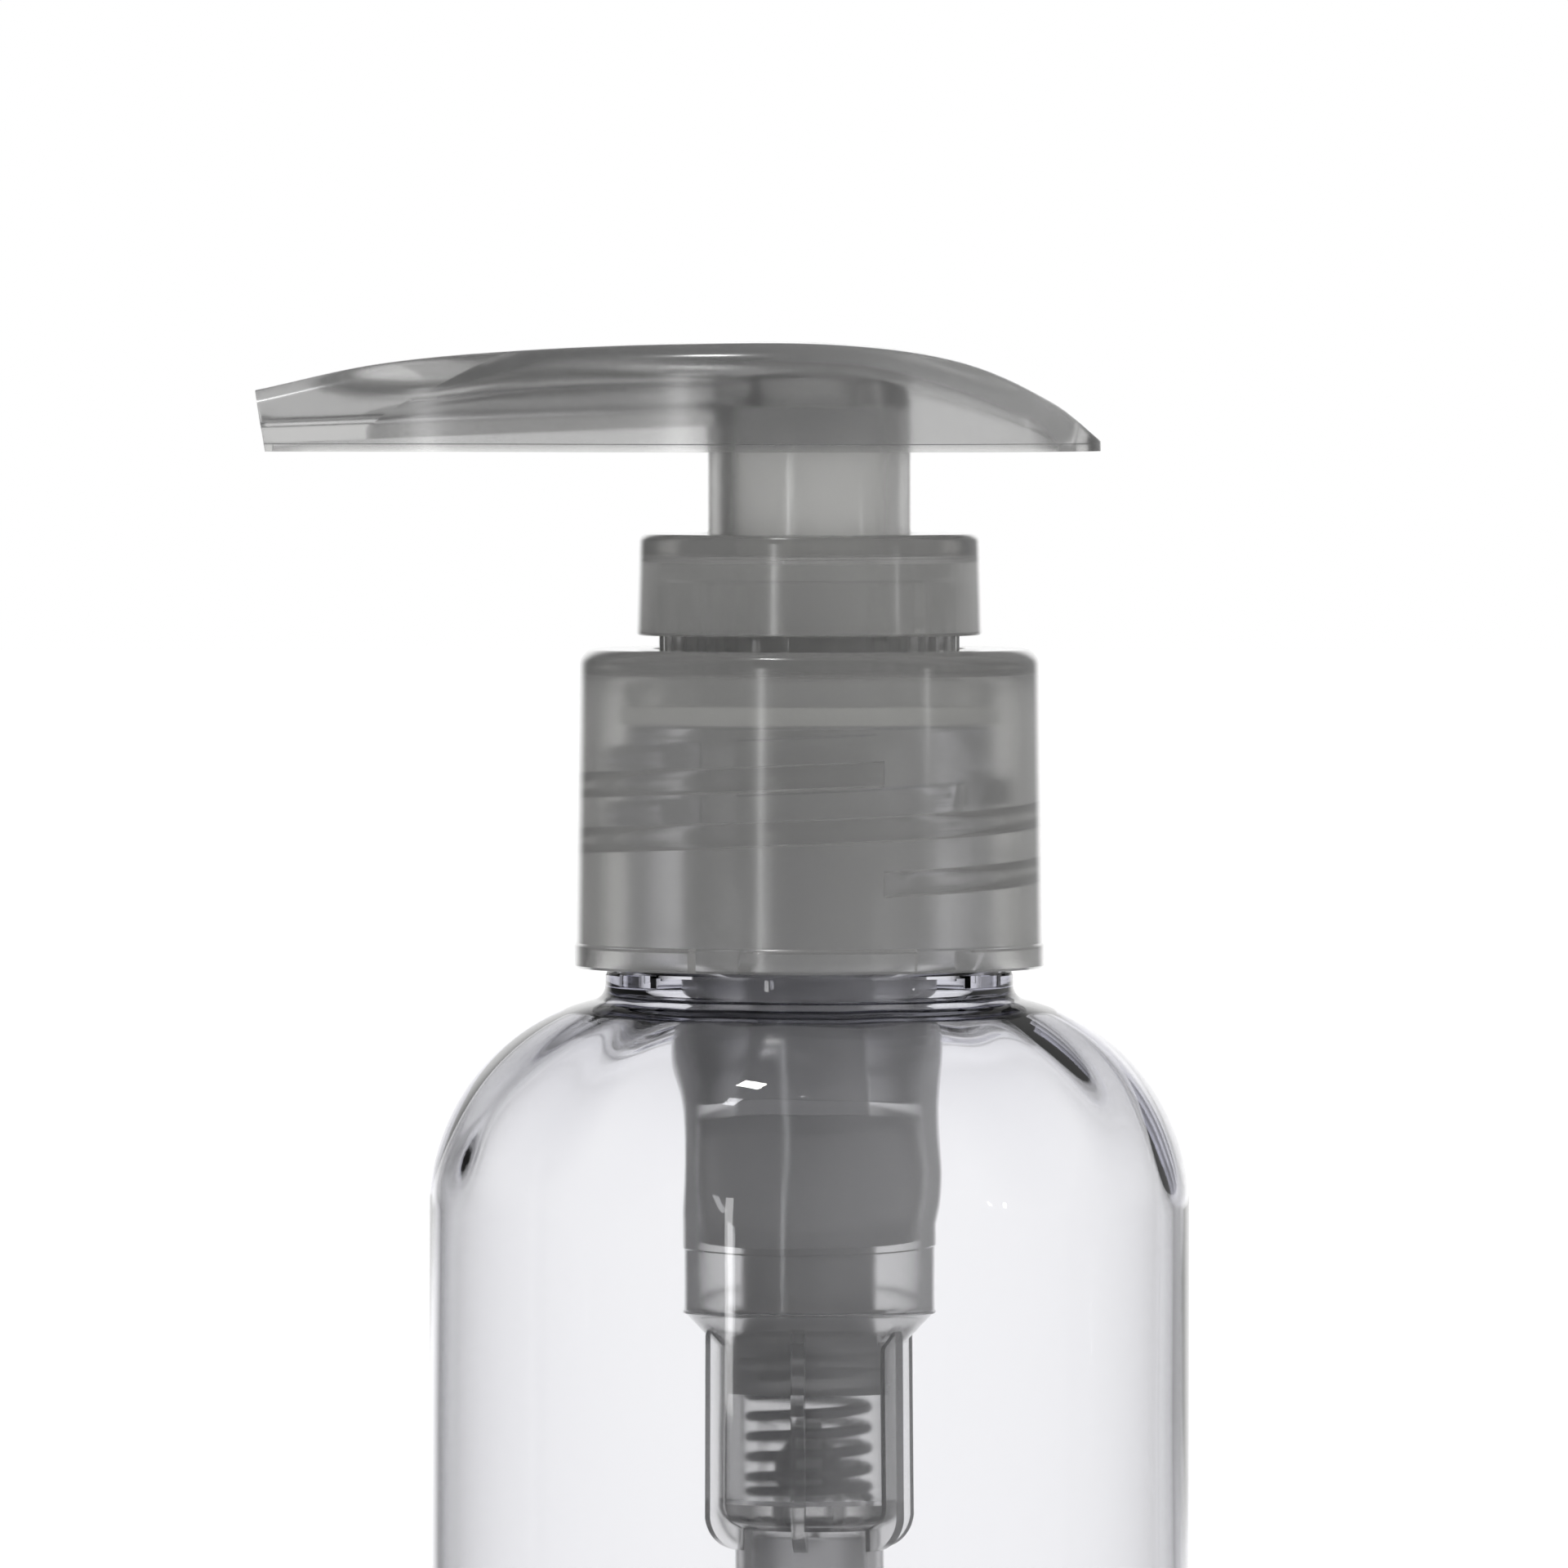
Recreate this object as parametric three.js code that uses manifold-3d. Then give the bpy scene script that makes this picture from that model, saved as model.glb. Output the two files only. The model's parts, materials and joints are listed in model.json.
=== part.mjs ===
// Soap pump dispenser: a clear round bottle with a screw-on pump and a saddle head.
// Units are millimetres and +Z is up. z = 0 is the plane that the bottle stands on, the bottle's
// axis is x = y = 0, and the spout points along -X. The pump is shown raised, with its cap screwed
// down, which is the rest pose of every joint.
import * as THREE from "three";
import { mergeVertices } from "three/addons/utils/BufferGeometryUtils.js";
import Module from "manifold-3d";

// ---- Driving dimensions ----------------------------------------------------------------------

// Bottle body
const BOTTLE_R = 22; // outer radius of the side
const SIDE_WALL = 0.7; // wall of the side
const SHOULDER_Z = 82; // where the straight side ends
const SHOULDER_R = 12.4; // radius of the shoulder's outer arc
const BASE_CORNER = 2.8; // outer radius where the side meets the base
const BASE_WALL = 1.8; // floor thickness
const PANEL_RECESS = 0.6; // the middle of the base is this much above the standing ring
const RING_INNER_R = 16; // inner edge of the standing ring

// Neck, a 24 mm size with a pitch of eight turns to the inch
const NECK_R = 11.8; // plain neck under the cap
const FINISH_R = 10.75; // wall between the thread's turns
const BORE_R = 9.6; // mouth
const RIM_Z = 110; // top of the mouth
const PITCH = 25.4 / 8;
const NECK_THREAD_R = 0.75; // radius of the ridge's round section
const NECK_THREAD_TURNS = 1.75;
const NECK_THREAD_TOP = { angle: 290, z: 108.8 }; // where the ridge runs out under the rim

// Cap
const CAP_Z = 95.9; // bottom edge
const CAP_TOP = 114.34;
const CAP_R = 13.5;
const CAP_TOP_R = 13.3;
const CAP_BAND_R = 13.6; // thicker band at the bottom edge
const CAP_BAND_H = 1.4;
const CAP_INNER_R = 12.2;
const CAP_ROOF = 1.37; // roof thickness
const CAP_HOLE_R = 8.95;
const CAP_CORNER = 0.95;
const CAP_THREAD_R = 0.6;
const CAP_THREAD_TURNS = 2;
const THREAD_STAGGER = 1.45; // the cap's ridge runs this much below the neck's
const POCKETS = 6; // ratchet pockets in the bottom edge
const POCKET_ARC = 47; // degrees
const POCKET_R = 12.95;
const POCKET_H = 1.3;

// Pump cylinder
const TUBE_R = 7.4;
const TUBE_BORE = 6.65;
const FLANGE_R = 10.9;
const FLANGE_TOP = 112.87;
const FLANGE_H = 1.6;
const RING_R = 8.7; // ring that comes up through the cap
const RING_TOP = 118.2;
const STEP_Z = 79.9; // the tube is a little thinner below this
const LOWER_TUBE_R = 7.32;
const FUNNEL_Z = 76; // top of the 45 degree funnel
const BORE_LEAD = 0.05; // the bore narrows this much higher up
const BARREL_R = 5.4;
const BARREL_BORE = 4.85;
const BARREL_BOTTOM = 63.6;
const SEAT_FLOOR = 64.9; // floor of the barrel, which the spring stands on
const SEAT_TOP = 65.5; // rim that the ball closes
const SEAT_R = 2.1;
const INLET_R = 1.5;
const SOCKET_R = 4.27;
const SOCKET_BORE = 3.3;
const SOCKET_BOTTOM = 57.5;
const RIBS = 6; // stiffening ribs on the barrel
const RIB_ANGLE = 264; // degrees, the first rib
const RIB_R = 6.45;
const RIB_TOP = 74.8;
const RIB_BOTTOM = 62.2;
const RIB_THICK = 0.75;
const FINGERS = 4; // cage fingers around the ball
const FINGER_IN = 2.35;
const FINGER_OUT = 2.95;
const FINGER_TOP = 69.7;
const FINGER_WIDTH = 1.5;
const FINGER_HOOK = 0.6; // how far the tip reaches inwards over the ball

// Collar, guide and gasket
const COLLAR_Z = 115.14;
const COLLAR_TOP = 121;
const COLLAR_R = 10;
const COLLAR_TOP_R = 9.85;
const COLLAR_PLATE = 1.3;
const COLLAR_CORNER = 0.5;
const GUIDE_BORE = 6.05; // also the collar's hole
const GUIDE_R = 6.55;
const GUIDE_BOTTOM = 88.75;
const GUIDE_FLANGE_R = 8.6;
const GASKET_R = 11;
const GASKET_BORE = 7.6;
const FIT = 0.1; // gap between pieces that touch on the real pump

// Head
const SPOUT_X = -32; // tip of the spout
const NOSE_X = 16.9; // back of the head
const HEAD_RIM = 125.76; // lower edge
const HEAD_HALF_WIDTH = 8.6;
const SPOUT_HALF_WIDTH = 3.3;
const SPOUT_LENGTH = 29; // the widening from the spout to the body
const HEAD_TOP_LINE = [
  [-32, 129.3],
  [-25, 130.8],
  [-16.7, 131.6],
  [-6.7, 132],
  [2.2, 131.9],
  [9, 130.85],
  [14.2, 128.5],
  [16.9, 126.3],
];
const HEAD_WALL = 1.2;
const CAVITY_SPOUT_X = -31;
const CAVITY_NOSE_X = 14.6; // the nose is solid behind this
const CAVITY_TOP_LINE = [
  [-31, 127],
  [-29.5, 127.5],
  [-25.4, 128.8],
  [-20, 130.2],
  [-14.5, 131],
  [-6, 131.2],
  [2.5, 131],
  [8, 130],
  [13.2, 128],
  [CAVITY_NOSE_X, 127],
];
const SLEEVE_R = 5.9;
const SLEEVE_BORE = 4.45; // holds the stem
const SLEEVE_BOTTOM = 108;
const CHANNEL_TIP = { x: -32, z: 128, r: 0.95 };
const CHANNEL_ROOT = { x: 0, z: 129.5, r: 1.25 };
const KEEL_HALF_WIDTH = 2.3; // the channel's wall under the roof
const KEEL_WALL = 0.8;

// Plunger
const STEM_HEAD_R = 4.35; // wide upper length, pressed into the head
const STEM_HEAD_BORE = 2.85;
const STEM_STEP = 100;
const STEM_R = 3.8;
const STEM_BORE = 1.3;
const STEM_TOP = 128.2;
const STEM_SHOULDER = 81.2;
const WINDOW_R = 0.6; // side windows
const SPIGOT_R = 3; // lower end, pressed into the foot
const STEM_BOTTOM = 76.4;
const PISTON_R = 6.5;
const PISTON_BORE = 3.9;
const PISTON_Z = 80.3;
const PISTON_TOP = 87.85;
const FOOT_SKIRT_R = 4.75;
const FOOT_NECK_R = 3.95;
const FOOT_BOTTOM = 71.3;
const FOOT_SHOULDER = 75;
const SPRING_TOP = 74.3;
const SPRING_R = 3.4; // to the middle of the wire
const WIRE_R = 0.3;
const SPRING_COILS = 8.5;
const SPRING_DEAD_COILS = 1.25; // closed coils at each end
const BALL_R = 2;
const BALL_GAP = 0.03;

// Dip tube
const DIP_R = 3.2;
const DIP_BORE = 2.45;
const DIP_TOP = 63;
const DIP_BOTTOM = 3.4;
const DIP_CUT = 3; // height of the slanted cut at the lower end

const LARGE = 36; // sides of a large round
const SMALL = 24; // sides of a small one

// ---- Shape helpers ---------------------------------------------------------------------------

const wasm = await Module();
wasm.setup();

const radians = THREE.MathUtils.degToRad;

// Points on an arc in the (radius, height) plane, angles in degrees from the outward direction.
function arc(r, z, radius, from, to, steps) {
  const points = [];
  for (let i = 0; i <= steps; i++) {
    const a = radians(from + ((to - from) * i) / steps);
    points.push([r + radius * Math.cos(a), z + radius * Math.sin(a)]);
  }
  return points;
}

// A closed round solid from its (radius, height) outline, walked with the solid on the left.
function revolve(outline, segments = LARGE) {
  const points = outline.map(([r, z]) => new THREE.Vector2(r, z));
  const touchesAxis = outline[0][0] === 0;
  if (!touchesAxis) points.push(points[0].clone());
  return new THREE.LatheGeometry(points, segments).rotateX(Math.PI / 2);
}

// A plain tube standing on z = low.
function tube(outer, inner, low, high, segments = LARGE) {
  return revolve([[inner, low], [outer, low], [outer, high], [inner, high]], segments);
}

// A plain round bar standing on z = low.
function bar(radius, low, high, segments = SMALL) {
  return revolve([[0, low], [radius, low], [radius, high], [0, high]], segments);
}

// A flat plate from its outline in the (x, z) plane, centred on y = 0.
function plate(outline, thickness) {
  const shape = new THREE.Shape(outline.map(([x, z]) => new THREE.Vector2(x, z)));
  const geometry = new THREE.ExtrudeGeometry(shape, { depth: thickness, bevelEnabled: false });
  return geometry.rotateX(Math.PI / 2).translate(0, thickness / 2, 0);
}

// A solid skinned over rings of equally many points, from the first ring to the last.
function loft(rings) {
  const count = rings[0].length;
  const vertices = rings.flat();
  const first = vertices.push(middle(rings[0])) - 1;
  const last = vertices.push(middle(rings.at(-1))) - 1;
  const faces = [];
  for (let i = 0; i < count; i++) {
    const next = (i + 1) % count;
    for (let k = 0; k + 1 < rings.length; k++) {
      const a = k * count;
      const b = a + count;
      faces.push(a + i, b + next, b + i, a + i, a + next, b + next);
    }
    const end = (rings.length - 1) * count;
    faces.push(first, next, i);
    faces.push(last, end + i, end + next);
  }
  const geometry = new THREE.BufferGeometry().setFromPoints(vertices);
  geometry.setIndex(faces);
  return geometry;
}

function middle(ring) {
  const sum = ring.reduce((total, point) => total.add(point), new THREE.Vector3());
  return sum.divideScalar(ring.length);
}

// A height read at x from a smooth line through a few [x, z] points.
function heightAt(line, x) {
  const last = line.length - 1;
  const slope = (i) => {
    const [x0, z0] = line[Math.max(i - 1, 0)];
    const [x1, z1] = line[Math.min(i + 1, last)];
    return (z1 - z0) / (x1 - x0);
  };
  let i = 0;
  while (i < last - 1 && x > line[i + 1][0]) i++;
  const [xa, za] = line[i];
  const [xb, zb] = line[i + 1];
  const span = xb - xa;
  const t = THREE.MathUtils.clamp((x - xa) / span, 0, 1);
  const ease = t * t * (3 - 2 * t);
  const leave = t * (1 - t) * (1 - t) * span * slope(i);
  const arrive = t * t * (t - 1) * span * slope(i + 1);
  return za + (zb - za) * ease + leave + arrive;
}

// A ridge or wire of round section along a helix that rises counter-clockwise.
class Helix extends THREE.Curve {
  constructor(radius, angle, turns, height) {
    super();
    Object.assign(this, { radius, angle, turns, height });
  }
  getPoint(t, target = new THREE.Vector3()) {
    const a = radians(this.angle) + 2 * Math.PI * this.turns * t;
    return target.set(this.radius * Math.cos(a), this.radius * Math.sin(a), this.height(t));
  }
}

function wire(helix, radius, stepsPerTurn, sides) {
  const shape = new THREE.Shape(
    arc(0, 0, radius, 0, 360 - 360 / sides, sides - 1).map(([x, y]) => new THREE.Vector2(x, y)),
  );
  const steps = Math.round(helix.turns * stepsPerTurn);
  return new THREE.ExtrudeGeometry(shape, { steps, extrudePath: helix, bevelEnabled: false });
}

// A thread ridge that ends at the given angle and height and runs down from there.
function threadRidge(radius, sectionR, top, turns) {
  const bottom = top.z - PITCH * turns;
  const start = top.angle - 360 * turns;
  const helix = new Helix(radius, start, turns, (t) => bottom + PITCH * turns * t);
  return wire(helix, sectionR, 24, 8);
}

// ---- Joining and cutting ---------------------------------------------------------------------

function toSolid(geometry) {
  const bare = geometry.clone();
  bare.deleteAttribute("normal");
  bare.deleteAttribute("uv");
  const merged = mergeVertices(bare, 1e-5);
  const index = merged.index.array;
  const triangles = [];
  for (let i = 0; i < index.length; i += 3) {
    const [a, b, c] = index.slice(i, i + 3);
    if (a !== b && b !== c && c !== a) triangles.push(a, b, c);
  }
  const mesh = new wasm.Mesh({
    numProp: 3,
    vertProperties: merged.attributes.position.array,
    triVerts: new Uint32Array(triangles),
  });
  return new wasm.Manifold(mesh);
}

function toGeometry(solid) {
  const { vertProperties, triVerts } = solid.getMesh();
  const geometry = new THREE.BufferGeometry();
  geometry.setAttribute("position", new THREE.Float32BufferAttribute(vertProperties, 3));
  geometry.setIndex(Array.from(triVerts));
  return geometry;
}

// The first geometry with the added ones joined on, then the cut ones taken away.
function carve(base, added, cut = []) {
  let solid = toSolid(base);
  for (const geometry of added) solid = solid.add(toSolid(geometry));
  for (const geometry of cut) solid = solid.subtract(toSolid(geometry));
  return toGeometry(solid);
}

// The same geometry repeated at equal angles about the Z axis.
function around(count, firstAngle, makeOne) {
  const copies = [];
  for (let i = 0; i < count; i++) {
    copies.push(makeOne().rotateZ(radians(firstAngle + (360 * i) / count)));
  }
  return copies;
}

// ---- Materials -------------------------------------------------------------------------------

const clearPlastic = new THREE.MeshStandardMaterial({
  color: 0xe8eaf0,
  roughness: 0.05,
  transparent: true,
  opacity: 0.3,
});
const milkyPlastic = new THREE.MeshStandardMaterial({ color: 0xd6d5d8, roughness: 0.4 });
const softPlastic = new THREE.MeshStandardMaterial({ color: 0xe4e3e4, roughness: 0.5 });
const foam = new THREE.MeshStandardMaterial({ color: 0xf2f1ee, roughness: 0.9 });
const steel = new THREE.MeshStandardMaterial({ color: 0xb9bcc0, roughness: 0.25, metalness: 1 });

// ---- Pieces ----------------------------------------------------------------------------------

function bottle() {
  const arcTop = 76; // degrees of the shoulder's arc before it turns up into the neck
  const sideBore = BOTTLE_R - SIDE_WALL;
  const centre = BOTTLE_R - SHOULDER_R;
  const floor = PANEL_RECESS + BASE_WALL;
  const innerCorner = BASE_CORNER - SIDE_WALL;
  const innerShoulder = []; // an ellipse close inside the outer arc
  const rise = 11.5;
  for (let a = 0; a < 88; a += 11) {
    innerShoulder.push([
      BORE_R - 0.6 + (sideBore - BORE_R + 0.6) * Math.cos(radians(a)),
      SHOULDER_Z + rise * Math.sin(radians(a)),
    ]);
  }
  const body = revolve([
    [0, PANEL_RECESS],
    [RING_INNER_R - 0.6, PANEL_RECESS],
    [RING_INNER_R, 0],
    ...arc(BOTTLE_R - BASE_CORNER, BASE_CORNER, BASE_CORNER, -90, 0, 4),
    ...arc(centre, SHOULDER_Z, SHOULDER_R, 0, arcTop, 8),
    [NECK_R, 94.8],
    [NECK_R, 95.6],
    [FINISH_R, 96.2],
    [FINISH_R, RIM_Z - 0.3],
    [FINISH_R - 0.3, RIM_Z],
    [BORE_R, RIM_Z],
    [BORE_R, SHOULDER_Z + rise],
    ...innerShoulder.reverse(),
    ...arc(sideBore - innerCorner, floor + innerCorner, innerCorner, 0, -90, 3),
    [0, floor],
  ]);
  const radius = FINISH_R + 0.35;
  const ridge = threadRidge(radius, NECK_THREAD_R, NECK_THREAD_TOP, NECK_THREAD_TURNS);
  return carve(body, [ridge]);
}

function closure() {
  const band = CAP_Z + CAP_BAND_H;
  const shell = revolve([
    [CAP_INNER_R, CAP_Z],
    [CAP_BAND_R, CAP_Z],
    [CAP_BAND_R, band],
    [CAP_R, band],
    ...arc(CAP_TOP_R - CAP_CORNER, CAP_TOP - CAP_CORNER, CAP_CORNER, 0, 90, 4),
    [CAP_HOLE_R, CAP_TOP],
    [CAP_HOLE_R, CAP_TOP - CAP_ROOF],
    [CAP_INNER_R, CAP_TOP - CAP_ROOF],
  ]);
  const top = { angle: NECK_THREAD_TOP.angle, z: NECK_THREAD_TOP.z - THREAD_STAGGER };
  const ridge = threadRidge(CAP_INNER_R - 0.35, CAP_THREAD_R, top, CAP_THREAD_TURNS);
  const pocket = () => {
    const half = radians(POCKET_ARC / 2);
    const shape = new THREE.Shape();
    shape.absarc(0, 0, POCKET_R, -half, half, false);
    shape.absarc(0, 0, CAP_INNER_R - 0.4, half, -half, true);
    const slot = new THREE.ExtrudeGeometry(shape, {
      depth: POCKET_H + 1,
      bevelEnabled: false,
      curveSegments: 5,
    });
    return slot.translate(0, 0, CAP_Z - 1);
  };
  return carve(shell, [ridge], around(POCKETS, 274, pocket));
}

function lockCollar() {
  const skirtBore = RING_R + FIT;
  return revolve([
    [skirtBore, COLLAR_Z],
    [COLLAR_R, COLLAR_Z],
    ...arc(COLLAR_TOP_R - COLLAR_CORNER, COLLAR_TOP - COLLAR_CORNER, COLLAR_CORNER, 0, 90, 3),
    [GUIDE_BORE, COLLAR_TOP],
    [GUIDE_BORE, COLLAR_TOP - COLLAR_PLATE],
    [skirtBore, COLLAR_TOP - COLLAR_PLATE],
  ]);
}

function housing() {
  const funnelDrop = LOWER_TUBE_R - BARREL_R;
  const boreDrop = TUBE_BORE - BARREL_BORE;
  const corner = BARREL_R - SOCKET_R;
  const shell = revolve([
    [SOCKET_BORE, SOCKET_BOTTOM],
    [SOCKET_R, SOCKET_BOTTOM],
    [SOCKET_R, BARREL_BOTTOM],
    ...arc(SOCKET_R, BARREL_BOTTOM + corner, corner, -60, 0, 2),
    [BARREL_R, FUNNEL_Z - funnelDrop],
    [LOWER_TUBE_R, FUNNEL_Z],
    [LOWER_TUBE_R, STEP_Z],
    [TUBE_R, STEP_Z],
    [TUBE_R, FLANGE_TOP - FLANGE_H],
    [FLANGE_R, FLANGE_TOP - FLANGE_H],
    [FLANGE_R, FLANGE_TOP],
    [RING_R, FLANGE_TOP],
    [RING_R, RING_TOP],
    [TUBE_BORE, RING_TOP],
    [TUBE_BORE, FUNNEL_Z + BORE_LEAD],
    [BARREL_BORE, FUNNEL_Z + BORE_LEAD - boreDrop],
    [BARREL_BORE, SEAT_FLOOR],
    [SEAT_R, SEAT_FLOOR],
    [SEAT_R, SEAT_TOP],
    [INLET_R, SEAT_TOP],
    [INLET_R, BARREL_BOTTOM],
    [SOCKET_BORE, BARREL_BOTTOM],
  ]);
  const overlap = 0.4; // how deep ribs and fingers reach into the wall that carries them
  const rib = () => {
    const corner = RIB_R - SOCKET_R;
    const outline = [
      [BARREL_R - overlap, RIB_TOP],
      [BARREL_R - overlap, BARREL_BOTTOM + 1],
      [SOCKET_R - overlap, BARREL_BOTTOM + 1],
      [SOCKET_R - overlap, RIB_BOTTOM],
      ...arc(SOCKET_R, RIB_BOTTOM + corner, corner, -90, 0, 4),
      [RIB_R, RIB_TOP],
    ];
    return plate(outline, RIB_THICK);
  };
  const finger = () => {
    const outline = [
      [FINGER_IN, SEAT_FLOOR - overlap],
      [FINGER_OUT, SEAT_FLOOR - overlap],
      [FINGER_OUT, FINGER_TOP],
      [FINGER_IN - FINGER_HOOK, FINGER_TOP - 0.5],
      [FINGER_IN, FINGER_TOP - 1],
    ];
    return plate(outline, FINGER_WIDTH);
  };
  return carve(shell, [...around(RIBS, RIB_ANGLE, rib), ...around(FINGERS, 0, finger)]);
}

function housingGasket() {
  return tube(GASKET_R, GASKET_BORE, RIM_Z + 0.05, FLANGE_TOP - FLANGE_H - 0.05);
}

function stemGuide() {
  const flangeBottom = RING_TOP + FIT;
  const flangeTop = COLLAR_TOP - COLLAR_PLATE - FIT;
  return revolve([
    [GUIDE_BORE, GUIDE_BOTTOM],
    [GUIDE_R, GUIDE_BOTTOM],
    [GUIDE_R, flangeBottom],
    [GUIDE_FLANGE_R, flangeBottom],
    [GUIDE_FLANGE_R, flangeTop],
    [GUIDE_BORE, flangeTop],
  ]);
}

// Half the head's width at x: an ellipse behind the axis, a cosine taper into the spout.
function headHalfWidth(x) {
  if (x > 0) return HEAD_HALF_WIDTH * Math.sqrt(Math.max(0, 1 - (x / NOSE_X) ** 2));
  const t = Math.min(1, -x / SPOUT_LENGTH);
  const extra = HEAD_HALF_WIDTH - SPOUT_HALF_WIDTH;
  return SPOUT_HALF_WIDTH + (extra * (1 + Math.cos(Math.PI * t))) / 2;
}

// A section across the head, with rounded upper corners.
function headSection(x, halfWidth, low, high) {
  const corner = Math.min(1.8, 0.8 * (high - low), 0.8 * halfWidth);
  const right = arc(halfWidth - corner, high - corner, corner, 0, 90, 4);
  const left = right.map(([y, z]) => [-y, z]).reverse();
  const outline = [[-halfWidth, low], [halfWidth, low], ...right, ...left];
  return outline.map(([y, z]) => new THREE.Vector3(x, y, z));
}

// Stations from the spout's end to the nose's, closer together towards the nose.
function headStations(spoutEnd, noseEnd) {
  const stations = [];
  const spoutSteps = 12;
  const noseSteps = 8;
  for (let i = 0; i < spoutSteps; i++) stations.push(spoutEnd * (1 - i / spoutSteps));
  for (let i = 0; i <= noseSteps; i++) {
    stations.push(noseEnd * Math.sin((Math.PI / 2) * (i / noseSteps)));
  }
  return stations;
}

function actuatorHead() {
  const nose = NOSE_X - 0.05; // the last section keeps a small width
  const outer = loft(
    headStations(SPOUT_X, nose).map((x) =>
      headSection(x, headHalfWidth(x), HEAD_RIM, heightAt(HEAD_TOP_LINE, x)),
    ),
  );
  const cavityHalf = (x) => {
    if (x < 0) return headHalfWidth(x) - HEAD_WALL;
    return (HEAD_HALF_WIDTH - HEAD_WALL) * Math.sqrt(1 - (x / (CAVITY_NOSE_X + 0.1)) ** 2);
  };
  const cavity = loft(
    headStations(CAVITY_SPOUT_X, CAVITY_NOSE_X).map((x) =>
      headSection(x, cavityHalf(x), HEAD_RIM - 1, heightAt(CAVITY_TOP_LINE, x)),
    ),
  );
  const keel = plate(
    [
      [CAVITY_SPOUT_X - 0.3, CHANNEL_TIP.z - CHANNEL_TIP.r - KEEL_WALL],
      [CHANNEL_ROOT.x, CHANNEL_ROOT.z - CHANNEL_ROOT.r - KEEL_WALL],
      [CHANNEL_ROOT.x, 131.4],
      [-14, 131.3],
      [CAVITY_SPOUT_X - 0.3, 128.9],
    ],
    2 * KEEL_HALF_WIDTH,
  );
  const roofInside = 130.8; // top of the sleeves, inside the roof
  const sleeve = tube(SLEEVE_R, SLEEVE_BORE, SLEEVE_BOTTOM, roofInside, SMALL);
  const boss = bar(SLEEVE_R - FIT, STEM_TOP + FIT, roofInside);
  const stemHole = bar(SLEEVE_BORE, SLEEVE_BOTTOM - 1, STEM_TOP + FIT);
  const crossBore = bar(STEM_HEAD_BORE, STEM_TOP, CHANNEL_ROOT.z + CHANNEL_ROOT.r);
  const reach = Math.hypot(CHANNEL_ROOT.x - CHANNEL_TIP.x, CHANNEL_ROOT.z - CHANNEL_TIP.z);
  const channel = bar(1, 0, reach + 1, 12);
  // The bar stands on its wide end at the root, so it is tapered, laid over and moved there.
  const positions = channel.attributes.position;
  for (let i = 0; i < positions.count; i++) {
    const t = positions.getZ(i) / reach;
    const r = THREE.MathUtils.lerp(CHANNEL_ROOT.r, CHANNEL_TIP.r, t);
    positions.setXY(i, positions.getX(i) * r, positions.getY(i) * r);
  }
  const slope = Math.atan2(CHANNEL_ROOT.z - CHANNEL_TIP.z, CHANNEL_ROOT.x - CHANNEL_TIP.x);
  channel.rotateY(-Math.PI / 2 - slope).translate(CHANNEL_ROOT.x, 0, CHANNEL_ROOT.z);
  const shell = carve(outer, [], [cavity]);
  return carve(shell, [keel, sleeve, boss], [stemHole, crossBore, channel]);
}

// The stem's four side windows, just above the foot, open when the piston lags behind.
function stem() {
  const taper = (STEM_HEAD_R - STEM_R) * 2;
  const column = revolve(
    [
      [STEM_BORE, STEM_BOTTOM],
      [SPIGOT_R, STEM_BOTTOM],
      [SPIGOT_R, STEM_SHOULDER],
      [STEM_R, STEM_SHOULDER],
      [STEM_R, STEM_STEP],
      [STEM_HEAD_R, STEM_STEP + taper],
      [STEM_HEAD_R, STEM_TOP],
      [STEM_HEAD_BORE, STEM_TOP],
      [STEM_HEAD_BORE, STEM_STEP + taper],
      [STEM_BORE, STEM_STEP],
    ],
    SMALL,
  );
  const windows = [0, 90].map((degrees) => {
    const across = new THREE.CylinderGeometry(WINDOW_R, WINDOW_R, 3 * STEM_R, 12);
    return across.translate(0, 0, STEM_SHOULDER + WINDOW_R + FIT).rotateZ(radians(degrees));
  });
  return carve(column, [], windows);
}

function piston() {
  const lip = 0.45; // wall of the two sealing lips
  const web = 1.1; // how far each lip stands above or below the piston's web
  const ringR = PISTON_R - 0.15;
  const cone = 0.6; // the foot's rim seats in this cone
  return revolve(
    [
      [PISTON_BORE, PISTON_Z + cone + 0.6],
      [PISTON_BORE + cone, PISTON_Z + 0.4],
      [ringR - 1.1, PISTON_Z + web],
      [PISTON_R - lip, PISTON_Z],
      [PISTON_R, PISTON_Z],
      [ringR, PISTON_Z + web],
      [ringR, PISTON_TOP - web],
      [PISTON_R, PISTON_TOP],
      [PISTON_R - lip, PISTON_TOP],
      [ringR - 1.1, PISTON_TOP - web],
      [PISTON_BORE + 0.7, PISTON_TOP - 1],
      [PISTON_BORE, PISTON_TOP - 0.6],
    ],
    SMALL,
  );
}

// The foot under the piston: its rim closes the piston's bore, its skirt covers the spring.
function pistonFoot() {
  const springRoom = SPRING_R + WIRE_R + FIT;
  const springStop = SPRING_TOP + 0.05;
  const socketBore = SPIGOT_R + 0.05;
  const stemStop = STEM_BOTTOM - FIT;
  const rim = STEM_SHOULDER - FIT;
  return revolve(
    [
      [0, springStop],
      [springRoom, springStop],
      [springRoom, FOOT_BOTTOM],
      [FOOT_SKIRT_R, FOOT_BOTTOM],
      [FOOT_SKIRT_R, FOOT_SHOULDER],
      [FOOT_NECK_R, FOOT_SHOULDER + 0.5],
      [FOOT_NECK_R, PISTON_Z],
      [FOOT_NECK_R + 0.45, PISTON_Z + 0.4],
      [FOOT_NECK_R + 0.1, rim],
      [socketBore, rim],
      [socketBore, stemStop],
      [0, stemStop],
    ],
    SMALL,
  );
}

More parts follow.
